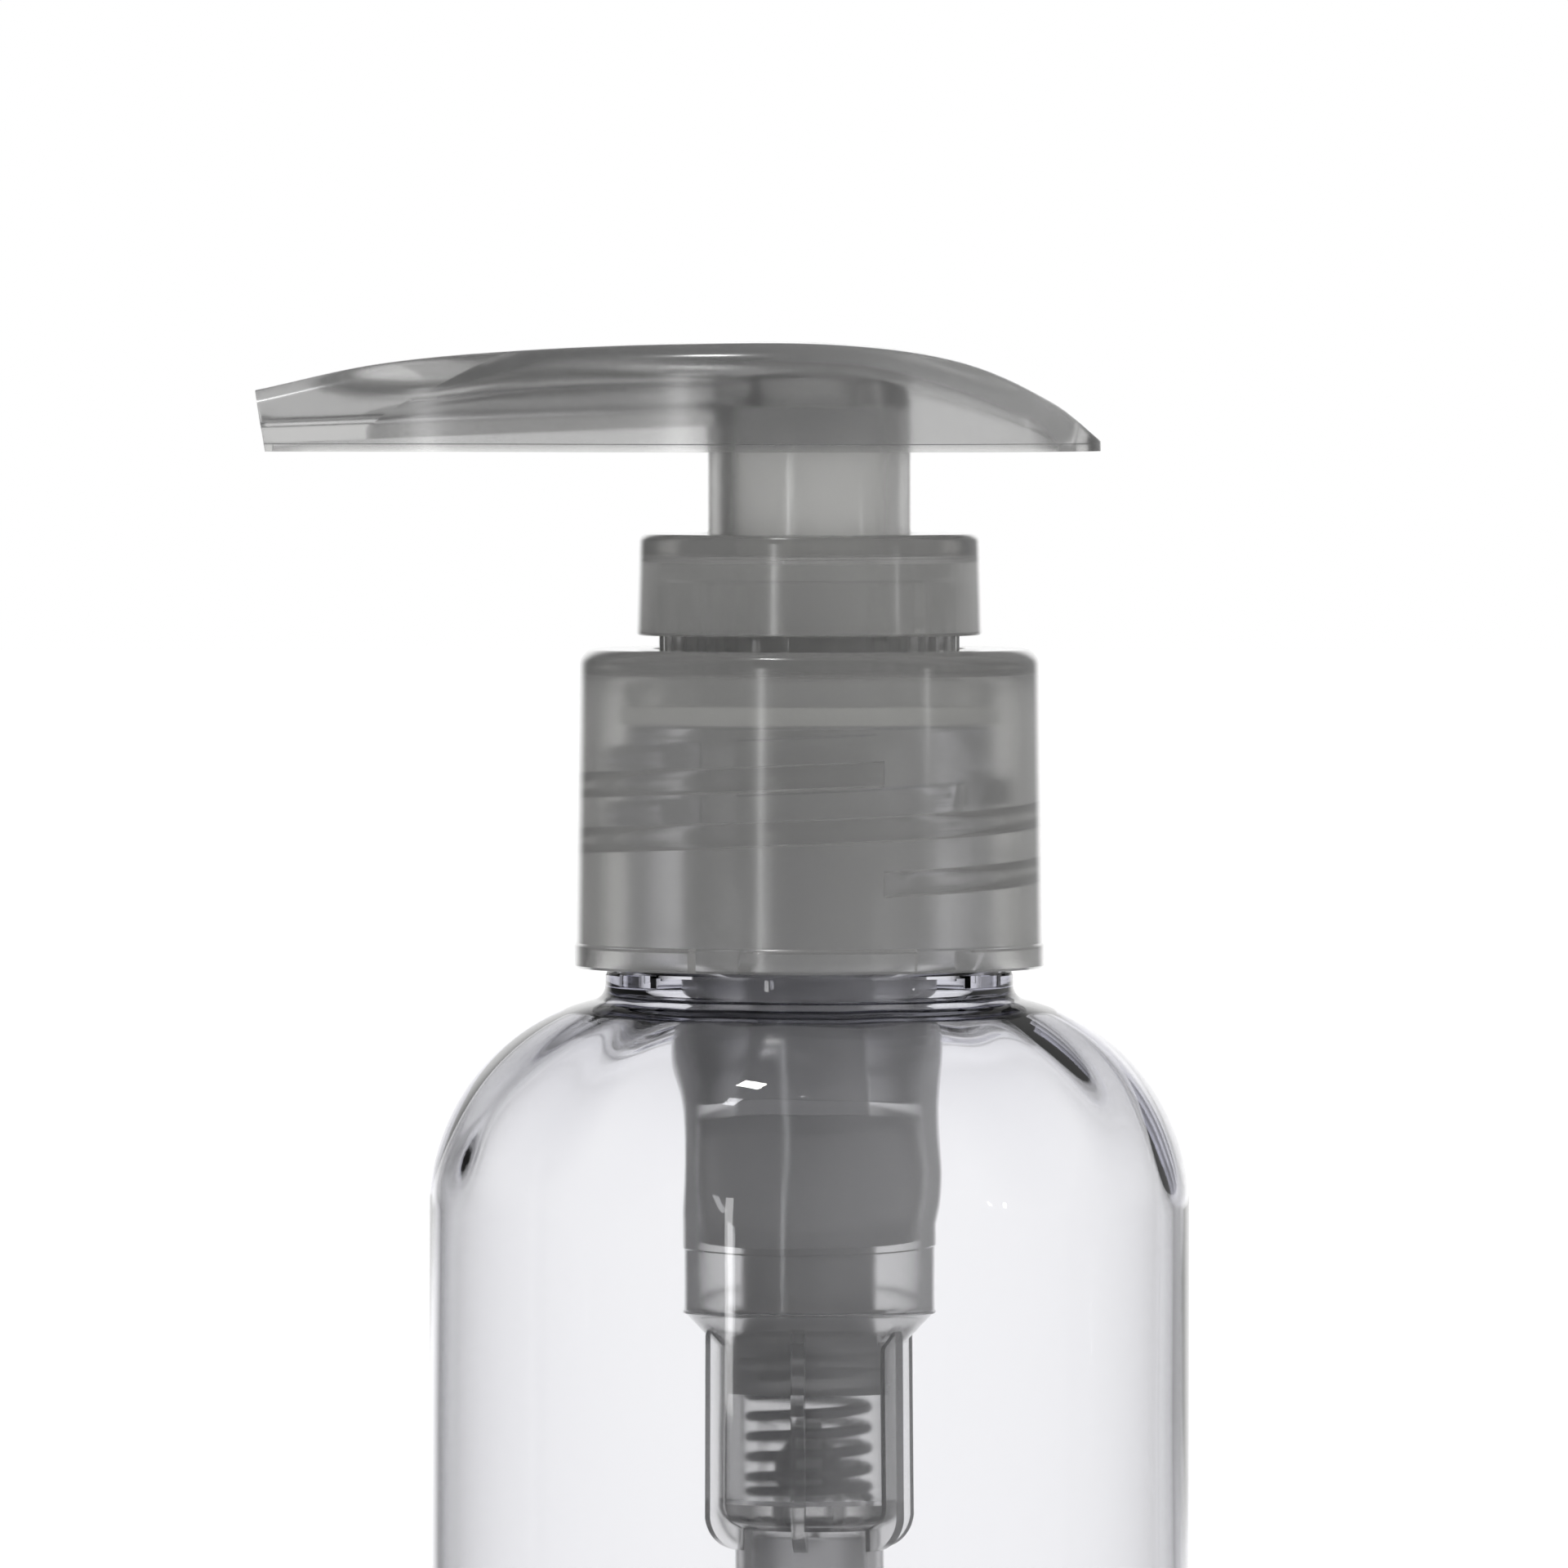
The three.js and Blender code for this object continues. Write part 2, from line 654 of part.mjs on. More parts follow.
function returnSpring() {
  const dead = SPRING_DEAD_COILS / SPRING_COILS; // share of the helix that is closed, each end
  const deadRise = SPRING_DEAD_COILS * 2.25 * WIRE_R;
  const low = SEAT_FLOOR + WIRE_R + 0.05;
  const high = SPRING_TOP - WIRE_R;
  const height = (t) => {
    if (t < dead) return low + (deadRise * t) / dead;
    if (t > 1 - dead) return high - (deadRise * (1 - t)) / dead;
    return THREE.MathUtils.mapLinear(t, dead, 1 - dead, low + deadRise, high - deadRise);
  };
  return wire(new Helix(SPRING_R, 0, SPRING_COILS, height), WIRE_R, 16, 6);
}

function inletBall() {
  const rise = Math.sqrt(BALL_R ** 2 - INLET_R ** 2); // of a ball that sits on the inlet's rim
  const ball = new THREE.SphereGeometry(BALL_R, 16, 10).rotateX(Math.PI / 2);
  return ball.translate(0, 0, SEAT_TOP + rise + BALL_GAP);
}

function dipTube() {
  const pipe = tube(DIP_R, DIP_BORE, DIP_BOTTOM, DIP_TOP, SMALL);
  const reach = DIP_R + 1;
  const wedge = plate(
    [
      [-reach, DIP_BOTTOM - 1],
      [reach, DIP_BOTTOM - 1],
      [reach, DIP_BOTTOM + DIP_CUT],
      [-reach, DIP_BOTTOM],
    ],
    2 * reach,
  );
  return carve(pipe, [], [wedge]);
}

// ---- Assembly --------------------------------------------------------------------------------

function piece(name, geometry, material) {
  const mesh = new THREE.Mesh(geometry, material);
  mesh.name = name;
  return mesh;
}

const dispenser = new THREE.Group();
dispenser.add(
  piece("bottle", bottle(), clearPlastic),
  piece("closure", closure(), milkyPlastic),
  piece("lock_collar", lockCollar(), milkyPlastic),
  piece("housing", housing(), milkyPlastic),
  piece("housing_gasket", housingGasket(), foam),
  piece("stem_guide", stemGuide(), milkyPlastic),
  piece("actuator_head", actuatorHead(), milkyPlastic),
  piece("stem", stem(), milkyPlastic),
  piece("piston", piston(), softPlastic),
  piece("piston_foot", pistonFoot(), softPlastic),
  piece("return_spring", returnSpring(), steel),
  piece("inlet_ball", inletBall(), steel),
  piece("dip_tube", dipTube(), softPlastic),
);

export default dispenser;
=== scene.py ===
"""Soap pump dispenser: fine pieces, materials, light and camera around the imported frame.

Lengths are named in millimetres and become metres when a mesh is made. Places come from the
frame's boxes, so every piece lies where its CAD node lies.
"""
import json
import math

import bmesh
import bpy
from mathutils import Matrix, Vector

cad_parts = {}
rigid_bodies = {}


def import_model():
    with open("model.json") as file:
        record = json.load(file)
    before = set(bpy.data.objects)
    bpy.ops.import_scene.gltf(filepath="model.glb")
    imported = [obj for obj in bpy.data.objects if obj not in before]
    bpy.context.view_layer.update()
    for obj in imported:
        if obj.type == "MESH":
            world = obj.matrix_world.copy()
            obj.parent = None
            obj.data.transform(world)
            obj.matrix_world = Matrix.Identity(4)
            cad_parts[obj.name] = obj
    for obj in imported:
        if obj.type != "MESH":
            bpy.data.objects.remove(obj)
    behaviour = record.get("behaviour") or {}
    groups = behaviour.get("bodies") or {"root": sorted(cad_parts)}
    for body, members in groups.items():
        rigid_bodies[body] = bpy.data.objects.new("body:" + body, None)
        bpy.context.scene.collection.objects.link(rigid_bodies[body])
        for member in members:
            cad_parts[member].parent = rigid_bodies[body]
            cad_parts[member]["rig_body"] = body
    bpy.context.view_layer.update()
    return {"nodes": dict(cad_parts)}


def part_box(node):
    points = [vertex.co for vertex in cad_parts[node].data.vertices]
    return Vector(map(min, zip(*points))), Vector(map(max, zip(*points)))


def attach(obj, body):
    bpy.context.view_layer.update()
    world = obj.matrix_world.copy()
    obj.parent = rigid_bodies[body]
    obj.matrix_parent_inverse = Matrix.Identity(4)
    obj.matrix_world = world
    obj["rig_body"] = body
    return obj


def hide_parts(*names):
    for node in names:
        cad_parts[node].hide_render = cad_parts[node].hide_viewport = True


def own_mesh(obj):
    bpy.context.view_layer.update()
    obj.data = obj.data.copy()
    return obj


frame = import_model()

MM = 0.001


# ---- Shape helpers ---------------------------------------------------------------------------


def extent(node):
    """A round node's outer radius, bottom and top in millimetres."""
    low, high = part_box(node)
    return high.x / MM, low.z / MM, high.z / MM


def arc(r, z, radius, start, end, steps):
    """Points on an arc in the (radius, height) plane, angles in degrees from outward."""
    points = []
    for i in range(steps + 1):
        a = math.radians(start + (end - start) * i / steps)
        points.append((r + radius * math.cos(a), z + radius * math.sin(a)))
    return points


def rows(r0, z0, r1, z1, step):
    """Points from one end of a straight wall to the other, at most a step apart."""
    count = max(1, math.ceil(math.hypot(r1 - r0, z1 - z0) / step))
    return [(r0 + (r1 - r0) * i / count, z0 + (z1 - z0) * i / count) for i in range(count + 1)]


def rounded(outline, radius=0.12):
    """The outline with each corner cut back and eased by a small arc, as a mould leaves it."""
    points = []
    count = len(outline)
    for i, (r, z) in enumerate(outline):
        before = Vector(outline[i - 1]) - Vector((r, z))
        after = Vector(outline[(i + 1) % count]) - Vector((r, z))
        if r == 0 or min(before.length, after.length) < 1e-6:
            points.append((r, z))
            continue
        back = min(radius, 0.4 * before.length, 0.4 * after.length)
        a = Vector((r, z)) + before.normalized() * back
        b = Vector((r, z)) + after.normalized() * back
        m = (a + b) / 4 + Vector((r, z)) / 2
        points += [tuple(a), tuple(m), tuple(b)]
    return points


def make(name, vertices, faces, sharp=35):
    """A smooth mesh object from vertices in millimetres."""
    mesh = bpy.data.meshes.new(name)
    mesh.from_pydata([(x * MM, y * MM, z * MM) for x, y, z in vertices], [], faces)
    mesh.validate()
    outward = bmesh.new()
    outward.from_mesh(mesh)
    bmesh.ops.recalc_face_normals(outward, faces=outward.faces)
    outward.to_mesh(mesh)
    outward.free()
    obj = bpy.data.objects.new(name, mesh)
    bpy.context.scene.collection.objects.link(obj)
    smooth(obj, sharp)
    return obj


def smooth(obj, sharp=35):
    obj.data.shade_smooth()
    obj.data.set_sharp_from_angle(angle=math.radians(sharp))


def revolve(name, outline, around=192, shape=None, sharp=35):
    """A closed round solid from its outline, walked with the solid on the left.

    shape(r, z, degrees) may move a point of the outline at that angle.
    """
    vertices = []
    ring_of = []
    for r, z in outline:
        if r == 0:
            ring_of.append([len(vertices)] * around)
            vertices.append((0, 0, z))
            continue
        ring_of.append(list(range(len(vertices), len(vertices) + around)))
        for i in range(around):
            degrees = 360 * i / around
            rr, zz = shape(r, z, degrees) if shape else (r, z)
            a = math.radians(degrees)
            vertices.append((rr * math.cos(a), rr * math.sin(a), zz))
    faces = []
    closed = outline[0][0] != 0
    for k in range(len(outline) if closed else len(outline) - 1):
        lower, upper = ring_of[k], ring_of[(k + 1) % len(outline)]
        for i in range(around):
            j = (i + 1) % around
            face = [lower[i], lower[j], upper[j], upper[i]]
            face = [v for n, v in enumerate(face) if v not in face[:n]]
            if len(face) > 2:
                faces.append(face)
    return make(name, vertices, faces, sharp)


def pipe(name, outer, inner, low, high, around=128, edge=0.12):
    outline = [(inner, low), (outer, low), (outer, high), (inner, high)]
    return revolve(name, rounded(outline, edge), around)


def plate(name, outline, thickness, degrees=0):
    """A flat plate from its (radius, height) outline, turned about the axis."""
    count = len(outline)
    turn = math.radians(degrees)
    vertices = []
    for side in (-thickness / 2, thickness / 2):
        for r, z in outline:
            x = r * math.cos(turn) - side * math.sin(turn)
            y = r * math.sin(turn) + side * math.cos(turn)
            vertices.append((x, y, z))
    faces = [list(range(count)), list(range(2 * count - 1, count - 1, -1))]
    for i in range(count):
        j = (i + 1) % count
        faces.append([j, i, i + count, j + count])
    return make(name, vertices, faces)


def loft(name, rings, sharp=35):
    """A closed solid skinned over rings of equally many points."""
    count = len(rings[0])
    vertices = [point for ring in rings for point in ring]
    faces = [list(range(count)), [len(vertices) - 1 - i for i in range(count)]]
    for k in range(len(rings) - 1):
        for i in range(count):
            j = (i + 1) % count
            a = k * count
            faces.append([a + j, a + i, a + count + i, a + count + j])
    return make(name, vertices, faces, sharp)


def combine(base, tools, operation, sharp=35):
    """Joins the tools to the base, or cuts them from it."""
    for tool in tools:
        modifier = base.modifiers.new("combine", "BOOLEAN")
        modifier.operation = operation
        modifier.solver = "EXACT"
        modifier.object = tool
    bpy.context.view_layer.update()
    solid = base.evaluated_get(bpy.context.evaluated_depsgraph_get())
    mesh = bpy.data.meshes.new_from_object(solid)
    base.modifiers.clear()
    base.data = mesh
    for tool in tools:
        bpy.data.objects.remove(tool)
    smooth(base, sharp)
    return base


def place(obj, node, material):
    """Puts the piece in the place of the CAD node that it stands for."""
    obj.data.materials.clear()
    obj.data.materials.append(material)
    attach(obj, frame["nodes"][node]["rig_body"])
    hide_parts(node)
    return obj


# ---- Materials -------------------------------------------------------------------------------


def new_material(name):
    material = bpy.data.materials.new(name)
    material.use_nodes = True
    return material, material.node_tree.nodes, material.node_tree.links


def add_bump(nodes, links, scale, distance, detail=3, stretch=(1, 1, 1), strength=1):
    """Moulded surface relief: noise in object space, in metres of height."""
    place_node = nodes.new("ShaderNodeTexCoord")
    mapping = nodes.new("ShaderNodeMapping")
    mapping.inputs["Scale"].default_value = stretch
    noise = nodes.new("ShaderNodeTexNoise")
    noise.inputs["Scale"].default_value = scale
    noise.inputs["Detail"].default_value = detail
    bump = nodes.new("ShaderNodeBump")
    bump.inputs["Strength"].default_value = strength
    bump.inputs["Distance"].default_value = distance
    links.new(place_node.outputs["Object"], mapping.inputs["Vector"])
    links.new(mapping.outputs["Vector"], noise.inputs["Vector"])
    links.new(noise.outputs["Fac"], bump.inputs["Height"])
    links.new(bump.outputs["Normal"], nodes["Principled BSDF"].inputs["Normal"])
    return noise


def add_absorption(nodes, links, color, density):
    """Light fades with the depth of plastic; the density is per metre."""
    absorb = nodes.new("ShaderNodeVolumeAbsorption")
    absorb.inputs["Color"].default_value = color
    absorb.inputs["Density"].default_value = density
    links.new(absorb.outputs["Volume"], nodes["Material Output"].inputs["Volume"])


def clear_polyester():
    material, nodes, links = new_material("clear_polyester")
    shader = nodes["Principled BSDF"]
    shader.inputs["Base Color"].default_value = (1, 1, 1, 1)
    shader.inputs["Roughness"].default_value = 0.02
    shader.inputs["IOR"].default_value = 1.57
    shader.inputs["Transmission Weight"].default_value = 1
    add_absorption(nodes, links, (0, 0, 0.22, 1), 95)
    add_bump(nodes, links, 90, 0.00006, 1, (1, 1, 0.35), 0.25)
    return material


def milky(name, color, roughness, haze, relief, coat=0.0, transmission=0.95):
    """Natural polypropylene: light passes, but fades with the depth of plastic and blurs.

    haze is the share of light lost, per metre of plastic, as an absorption coefficient.
    """
    material, nodes, links = new_material(name)
    shader = nodes["Principled BSDF"]
    shader.inputs["Base Color"].default_value = color
    shader.inputs["Roughness"].default_value = roughness
    shader.inputs["IOR"].default_value = 1.49
    shader.inputs["Transmission Weight"].default_value = transmission
    shader.inputs["Coat Weight"].default_value = coat
    shader.inputs["Coat Roughness"].default_value = 0.13
    add_absorption(nodes, links, (0.03, 0.02, 0, 1), haze)
    noise = add_bump(nodes, links, 420, relief, 4, (1, 1, 0.5), 0.5)
    vary = nodes.new("ShaderNodeMapRange")
    vary.inputs["To Min"].default_value = roughness - 0.04
    vary.inputs["To Max"].default_value = roughness + 0.05
    links.new(noise.outputs["Fac"], vary.inputs["Value"])
    links.new(vary.outputs["Result"], shader.inputs["Roughness"])
    return material


def painted_light_below(material, low, high, color):
    """Painted light and shade on one plastic: a lighter base colour under a height in metres,
    blending into the darker base colour above.
    """
    nodes, links = material.node_tree.nodes, material.node_tree.links
    shader = nodes["Principled BSDF"]
    coordinates = nodes.new("ShaderNodeTexCoord")
    split = nodes.new("ShaderNodeSeparateXYZ")
    share = nodes.new("ShaderNodeMapRange")
    share.inputs["From Min"].default_value = low
    share.inputs["From Max"].default_value = high
    mix = nodes.new("ShaderNodeMix")
    mix.data_type = "RGBA"
    mix.inputs["A"].default_value = color
    mix.inputs["B"].default_value = shader.inputs["Base Color"].default_value
    links.new(coordinates.outputs["Object"], split.inputs[0])
    links.new(split.outputs["Z"], share.inputs["Value"])
    links.new(share.outputs["Result"], mix.inputs["Factor"])
    links.new(mix.outputs["Result"], shader.inputs["Base Color"])


def steel(name, roughness):
    material, nodes, links = new_material(name)
    shader = nodes["Principled BSDF"]
    shader.inputs["Base Color"].default_value = (0.1, 0.1, 0.103, 1)
    shader.inputs["Metallic"].default_value = 1
    shader.inputs["Roughness"].default_value = roughness
    add_bump(nodes, links, 2500, 0.00001, 2, (1, 1, 1), 0.4)
    return material


def foam():
    material, nodes, links = new_material("gasket_foam")
    shader = nodes["Principled BSDF"]
    shader.inputs["Base Color"].default_value = (0.36, 0.36, 0.35, 1)
    shader.inputs["Roughness"].default_value = 0.9
    add_bump(nodes, links, 3000, 0.00005, 2)
    return material


CLEAR = clear_polyester()
SHELL = milky("milky_shell", (0.93, 0.93, 0.92, 1), 0.18, 150, 0.00002, 0.8, 0.89)
# The head's grey base colour is painted shade for the depth of plastic in its spout and roof;
# further down, under its rim, a lighter colour is painted in.
HEAD = milky("milky_head", (0.79, 0.79, 0.79, 1), 0.18, 60, 0.00002, 0.8, 0.95)
CYLINDER = milky("milky_cylinder", (0.97, 0.97, 0.97, 1), 0.15, 65, 0.00001, 0.5, 0.92)
STEM = milky("milky_stem", (0.98, 0.98, 0.98, 1), 0.18, 10, 0.00001, 0, 0.12)
PISTON = milky("milky_piston", (0.90, 0.90, 0.90, 1), 0.35, 60, 0.00001, 0, 0.84)
FOOT = milky("milky_foot", (0.78, 0.78, 0.78, 1), 0.3, 200, 0.00001, 0, 0.95)
TUBE = milky("milky_tube", (0.90, 0.90, 0.91, 1), 0.3, 80, 0.00001, 0, 0.9)
# Painted light on the head: under its rim, on the sleeve inside the cap, the base colour is painted
# nearly white so that the many walls there don't darken it. Above the rim it keeps the darker
# painted shade.
painted_light_below(HEAD, 0.1255, 0.1262, (0.97, 0.97, 0.96, 1))
WIRE_STEEL = steel("spring_steel", 0.25)
BALL_STEEL = steel("ball_steel", 0.12)
FOAM = foam()


# ---- Threads ---------------------------------------------------------------------------------

PITCH = 25.4 / 8
THREAD_TOP = {"angle": 290, "z": 108.8}


def thread(name, wall_r, top, turns, half_height, crest, vents=()):
    """Ridges along a helix on a wall; a negative crest reaches inwards. Vents leave gaps."""
    steps = int(turns * 120)
    runs = [[]]
    for i in range(steps + 1):
        degrees = top["angle"] - 360 * turns * i / steps
        if any(abs((degrees - vent + 180) % 360 - 180) < 5 for vent in vents):
            runs.append([])
        else:
            runs[-1].append((degrees, top["z"] - PITCH * turns * i / steps))
    root = -0.3 if crest > 0 else 0.3
    ridges = []
    for run in runs:
        if len(run) < 8:
            continue
        rings = []
        for i, (degrees, z) in enumerate(run):
            grown = min(1, (min(i, len(run) - 1 - i) + 1) / 4)
            section = [(root, -half_height)]
            for k in range(7):
                a = math.radians(180 * k / 6 - 90)
                section.append((crest * grown * math.cos(a) ** 0.45 if k % 6 else 0,
                                half_height * math.sin(a)))
            section.append((root, half_height))
            turn = math.radians(degrees)
            rings.append([((wall_r + r) * math.cos(turn), (wall_r + r) * math.sin(turn), z + up)
                          for r, up in section])
        ridges.append(loft(name, rings))
    return ridges


# ---- Bottle ----------------------------------------------------------------------------------

SIDE_WALL = 0.7
SHOULDER_Z = 82
SHOULDER_R = 12.4
BASE_CORNER = 2.8
BASE_WALL = 1.8
PANEL_RECESS = 0.6
RING_INNER_R = 16
INNER_RISE = 11.5  # of the ellipse that the shoulder's inside follows
RING_SAG = 0.5  # a ring of thicker wall inside the shoulder, close to the neck
RING_START = 68  # degrees around that ellipse
RING_END = 84
SIDE_RIPPLE = 0.05  # unevenness of the blown wall
SHOULDER_RIPPLE = 0.07
SEAM_PROUD = 0.05
NECK_R = 11.8
FINISH_R = 10.75
BORE_R = 9.6
SEAM_ANGLES = (225, 45)
VENT_ANGLES = (242, 328, 62, 148)
LUG_ANGLES = (214, 327, 34, 147)
LUG_R = 12.1
LUG_TOP = 95.65
LUG_WIDTH = 3.2


def seam_height(degrees, step):
    """The mould's parting line: one column of points stands slightly proud."""
    near = min(abs((degrees - seam + 180) % 360 - 180) for seam in SEAM_ANGLES)
    return SEAM_PROUD if near < step / 2 else 0


def lug(degrees):
    """A stop on the neck that the cap's pockets ride over."""
    outline = [(NECK_R - 0.4, 94.9), (LUG_R, 94.95), (LUG_R, LUG_TOP), (NECK_R - 0.4, LUG_TOP)]
    return plate("lug", outline, LUG_WIDTH, degrees)


def bottle():
    outer_r, _, rim = extent("bottle")
    around = 288
    bore = outer_r - SIDE_WALL
    floor = PANEL_RECESS + BASE_WALL
    corner = BASE_CORNER - SIDE_WALL
    inner_shoulder = []
    for i in range(36):
        degrees = 88 * i / 36
        a = math.radians(degrees)
        wide = bore - BORE_R + 0.6
        ring = 0
        if RING_START < degrees < RING_END:
            share = (degrees - RING_START) / (RING_END - RING_START)
            ring = RING_SAG * math.sin(math.pi * share) ** 2
        inner_shoulder.append((BORE_R - 0.6 + wide * math.cos(a),
                               SHOULDER_Z + INNER_RISE * math.sin(a) - ring))
    outline = [
        (0, PANEL_RECESS),
        (RING_INNER_R - 0.6, PANEL_RECESS),
        (RING_INNER_R - 0.35, PANEL_RECESS - 0.12),
        (RING_INNER_R - 0.1, 0.08),
        (RING_INNER_R + 0.15, 0),
        *arc(outer_r - BASE_CORNER, BASE_CORNER, BASE_CORNER, -90, 0, 12),
        *rows(outer_r, BASE_CORNER + 4, outer_r, SHOULDER_Z - 4, 8),
        *arc(outer_r - SHOULDER_R, SHOULDER_Z, SHOULDER_R, 0, 74, 32),
        *arc(NECK_R + 0.9, 94.92, 0.9, 265, 180, 6),
        (NECK_R, 95.5),
        (NECK_R - 0.1, 95.66),
        (FINISH_R + 0.25, 96.0),
        *rows(FINISH_R, 96.3, FINISH_R, rim - 0.4, 4),
        (FINISH_R - 0.12, rim - 0.12),
        (FINISH_R - 0.4, rim),
        (BORE_R + 0.25, rim),
        (BORE_R + 0.05, rim - 0.1),
        (BORE_R, rim - 0.35),
        (BORE_R, SHOULDER_Z + INNER_RISE + 1.5),
        (BORE_R + 0.03, SHOULDER_Z + INNER_RISE + 0.3),
        *reversed(inner_shoulder),
        *rows(bore, SHOULDER_Z - 4, bore, floor + corner + 4, 8),
        *arc(bore - corner, floor + corner, corner, 0, -90, 8),
        (0, floor),
    ]

    def shape(r, z, degrees):
        if r > NECK_R and z > BASE_CORNER and r > bore + 0.1:
            return r + seam_height(degrees, 360 / around), z
        a = math.radians(degrees)
        if abs(r - bore) < 1e-6:
            ripple = math.sin(2 * a + z * 0.06) + 0.6 * math.sin(5 * a - z * 0.11)
            return r + SIDE_RIPPLE * ripple, z
        if (r, z) in inner_shoulder:
            fade = min(1, (z - SHOULDER_Z) / 3)
            ripple = math.sin(9 * a + z * 0.3) + 0.7 * math.sin(17 * a - z * 0.2)
            return r + SHOULDER_RIPPLE * fade * ripple, z
        return r, z

    obj = revolve("bottle_fine", outline, around, shape)
    ridges = thread("neck_thread", FINISH_R, THREAD_TOP, 1.75, 0.85, 1.0, VENT_ANGLES)
    lugs = [lug(angle) for angle in LUG_ANGLES]
    combine(obj, ridges + lugs, "UNION", 30)
    return place(obj, "bottle", CLEAR)


# ---- Cap and collar --------------------------------------------------------------------------

CAP_WALL_TOP = 13.3
CAP_SIDE_R = 13.5
CAP_BAND_H = 1.4
CAP_INNER_R = 12.2
CAP_ROOF = 1.37
CAP_HOLE_R = 8.95
CAP_CORNER = 0.95
POCKETS = 6
POCKET_DEPTH = 0.75
POCKET_H = 1.3
POCKET_ARC = 47
POCKET_START = 251  # degrees, the slanted flank of the front pocket
THREAD_STAGGER = 1.45
COLLAR_PLATE = 1.3
SKIRT_BORE = 8.8
GUIDE_BORE = 6.05  # also the collar's hole


def closure():
    band_r, low, top = extent("closure")
    roof = top - CAP_ROOF
    band = low + CAP_BAND_H
    outline = [
        *rows(CAP_INNER_R, roof - 0.5, CAP_INNER_R, low + 2, 4),
        *rows(CAP_INNER_R, low + 1.9, CAP_INNER_R, low + 0.1, 0.1),
        (CAP_INNER_R + 0.1, low),
        (band_r - 0.15, low),
        (band_r, low + 0.15),
        (band_r, band - 0.1),
        (band_r - 0.06, band),
        (CAP_SIDE_R, band + 0.04),
        *arc(CAP_WALL_TOP - CAP_CORNER, top - CAP_CORNER, CAP_CORNER, 0, 90, 10),
        (CAP_HOLE_R + 0.2, top),
        (CAP_HOLE_R, top - 0.2),
        (CAP_HOLE_R, roof + 0.1),
        (CAP_HOLE_R + 0.1, roof),
        (CAP_INNER_R - 0.5, roof),
        (CAP_INNER_R - 0.15, roof - 0.15),
    ]
    top_turn = {"angle": THREAD_TOP["angle"], "z": THREAD_TOP["z"] - THREAD_STAGGER}

    def pocket_depth(z, degrees):
        turn = (degrees - POCKET_START) % (360 / POCKETS)
        height = z - low
        slant = 4 + 5 * height / POCKET_H
        if height > POCKET_H or turn > POCKET_ARC:
            return 0
        return POCKET_DEPTH * min(1, turn / slant, (POCKET_H - height) / 0.15)

    def shape(r, z, degrees):
        if abs(r - CAP_INNER_R) < 0.11 and z < low + 2:
            return r + pocket_depth(z, degrees), z
        return r, z

    obj = revolve("closure_fine", outline, 360, shape)
    combine(obj, thread("cap_thread", CAP_INNER_R, top_turn, 2, 0.75, -0.9), "UNION", 30)
    return place(obj, "closure", SHELL)


def lock_collar():
    collar_r, low, top = extent("lock_collar")
    plate_under = top - COLLAR_PLATE
    outline = [
        (SKIRT_BORE + 0.15, low),
        (collar_r - 0.12, low),
        (collar_r, low + 0.1),
        *arc(collar_r - 0.15 - 0.5, top - 0.5, 0.5, 0, 90, 8),
        (GUIDE_BORE + 0.3, top),
        (GUIDE_BORE + 0.08, top - 0.08),
        (GUIDE_BORE, top - 0.3),
        (GUIDE_BORE, plate_under + 0.05),
        (GUIDE_BORE + 0.05, plate_under),
        (SKIRT_BORE - 0.4, plate_under),
        (SKIRT_BORE, plate_under - 0.4),
        (SKIRT_BORE, low + 0.15),
    ]
    obj = revolve("lock_collar_fine", outline, 192)
    return place(obj, "lock_collar", SHELL)


# ---- Cylinder --------------------------------------------------------------------------------

TUBE_R = 7.4
TUBE_BORE = 6.65
RING_R = 8.7
STEP_Z = 79.9
LOWER_TUBE_R = 7.32
FLANGE_TOP = 112.87
FLANGE_H = 1.6
FUNNEL_Z = 76
BORE_LEAD = 0.05
BARREL_R = 5.4
BARREL_BORE = 4.85
BARREL_BOTTOM = 63.6
SEAT_FLOOR = 64.9
SEAT_TOP = 65.5
SEAT_R = 2.1
INLET_R = 1.5
SOCKET_R = 4.27
SOCKET_BORE = 3.3
RIBS = 6
RIB_ANGLE = 264
RIB_R = 6.45
RIB_TOP = 74.8
RIB_BOTTOM = 62.2
RIB_THICK = 0.75
FINGERS = 4
FINGER_IN = 2.35
FINGER_OUT = 2.95
FINGER_HOOK = 0.6
FINGER_TOP = 69.7
FINGER_WIDTH = 1.5
FLUTE_DEPTH = 0.15  # of the upright flutes on the ring under the collar
FLUTE_PITCH = 10  # degrees
GASKET_BORE = 7.6
GUIDE_R = 6.55
GUIDE_FLANGE_H = 1.3
ROOT = 0.4  # how deep ribs and fingers reach into the wall that carries them


def rib(number):
    corner = RIB_R - SOCKET_R
    outline = [
        (BARREL_R - ROOT, RIB_TOP + 0.3),
        (BARREL_R - ROOT, BARREL_BOTTOM + 1),
        (SOCKET_R - ROOT, BARREL_BOTTOM + 1),
        (SOCKET_R - ROOT, RIB_BOTTOM),
        *arc(SOCKET_R, RIB_BOTTOM + corner, corner, -90, -8, 10),
        (RIB_R, RIB_TOP - 0.1),
        (BARREL_R + 0.9, RIB_TOP + 0.3),
    ]
    return plate("rib", outline, RIB_THICK, RIB_ANGLE + 360 * number / RIBS)


def finger(number):
    outline = [
        (FINGER_IN, SEAT_FLOOR - ROOT),
        (FINGER_OUT, SEAT_FLOOR - ROOT),
        (FINGER_OUT, FINGER_TOP),
        (FINGER_IN - FINGER_HOOK, FINGER_TOP - 0.4),
        (FINGER_IN - FINGER_HOOK, FINGER_TOP - 0.5),
        (FINGER_IN, FINGER_TOP - 1),
    ]
    return plate("finger", outline, FINGER_WIDTH, 360 * number / FINGERS)


